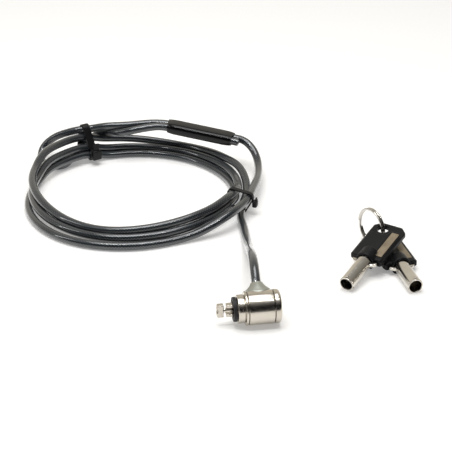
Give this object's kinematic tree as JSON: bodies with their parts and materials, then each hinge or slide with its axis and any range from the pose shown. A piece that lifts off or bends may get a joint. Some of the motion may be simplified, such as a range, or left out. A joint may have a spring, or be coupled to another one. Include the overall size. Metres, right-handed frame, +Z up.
{
  "type": "laptop cable lock",
  "caption": "Cable lock for a laptop's security slot: T-bar barrel lock on a swivel, coiled plastic-coated steel cable with a crimped end loop, and tubular keys on a split ring.",
  "frame": {"origin": "on the surface it lies on, under the middle of the lock head and keys together", "axes": "+X along the lock's axis, from the T-bar to the keyway and on to the keys; +Y from the lock towards the coil; +Z up"},
  "size_m": [0.1918, 0.2139, 0.0238],
  "materials": {
    "polished_nickel": "polished nickel plate",
    "satin_zinc": "satin plated zinc casting",
    "plain_steel": "plain steel",
    "brass": "turned brass",
    "black_rubber": "matt",
    "black_plastic": "moulded, half gloss",
    "smoke_sheath": "clear smoke-grey sheath over steel strands, glossy",
    "silver_strip": "matt beige silver"
  },
  "bodies": {
    "cable_assembly": {"swivel_sleeve": "polished_nickel", "cable_neck": "satin_zinc", "cable_stop": "plain_steel", "cable_tail": "smoke_sheath", "cable_strand": "smoke_sheath", "cable_loop": "smoke_sheath", "cable_cut_end": "smoke_sheath", "cable_coil": "smoke_sheath", "crimp_cover": "black_plastic", "crimp_ferrule": "plain_steel", "rope_core_far": "plain_steel", "rope_core_near": "plain_steel", "tie_left": "black_plastic", "tie_right": "black_plastic"},
    "lock_barrel": {"lock_body": "polished_nickel", "rubber_washer": "black_rubber", "front_ring": "polished_nickel", "guard_pin_upper": "polished_nickel", "guard_pin_lower": "polished_nickel", "rear_cap": "polished_nickel", "pin_block": "brass", "driver_pin_1": "plain_steel", "driver_pin_2": "plain_steel", "driver_pin_3": "plain_steel", "driver_pin_4": "plain_steel", "driver_pin_5": "plain_steel", "driver_pin_6": "plain_steel", "driver_pin_7": "plain_steel", "driver_spring_1": "plain_steel", "driver_spring_2": "plain_steel", "driver_spring_3": "plain_steel", "driver_spring_4": "plain_steel", "driver_spring_5": "plain_steel", "driver_spring_6": "plain_steel", "driver_spring_7": "plain_steel"},
    "plug": {"plug_rotor": "brass", "locking_bar": "polished_nickel", "cross_pin": "plain_steel"},
    "key_pins": {"key_pin_1": "brass", "key_pin_2": "brass", "key_pin_3": "brass", "key_pin_4": "brass", "key_pin_5": "brass", "key_pin_6": "brass", "key_pin_7": "brass"},
    "lower_key": {"key_tube_lower": "polished_nickel", "key_head_lower": "black_plastic", "key_inlay_lower": "silver_strip"},
    "upper_key": {"key_tube_upper": "polished_nickel", "key_head_upper": "black_plastic", "key_inlay_upper": "silver_strip"},
    "key_ring": {"split_ring": "plain_steel"}
  },
  "joints": [
    {"name": "swivel", "type": "hinge", "parent": "cable_assembly", "child": "lock_barrel", "pos_m": [-0.0452, -0.03278, 0.008], "axis": [1, 0, 0], "continuous": true},
    {"name": "plug_turn", "type": "hinge", "parent": "lock_barrel", "child": "plug", "pos_m": [-0.0452, -0.03278, 0.008], "axis": [1, 0, 0], "range_deg": [0, 90]},
    {"name": "key_pins_push", "type": "slide", "parent": "plug", "child": "key_pins", "axis": [-1, 0, 0], "range_m": [0, 0.001], "stiffness_N_per_m": 200},
    {"name": "key_lift", "type": "slide", "parent": "cable_assembly", "child": "lower_key", "axis": [0, 0, 1], "range_m": [0, 0.03]},
    {"name": "key_fan", "type": "hinge", "parent": "lower_key", "child": "upper_key", "pos_m": [0.04089, 0.02292, 0.01205], "axis": [0, 0, -1], "range_deg": [0, 90]},
    {"name": "ring_turn", "type": "hinge", "parent": "lower_key", "child": "key_ring", "pos_m": [0.03727, 0.03143, 0.0103], "axis": [0.9203, 0.3911, 0], "continuous": true}
  ]
}
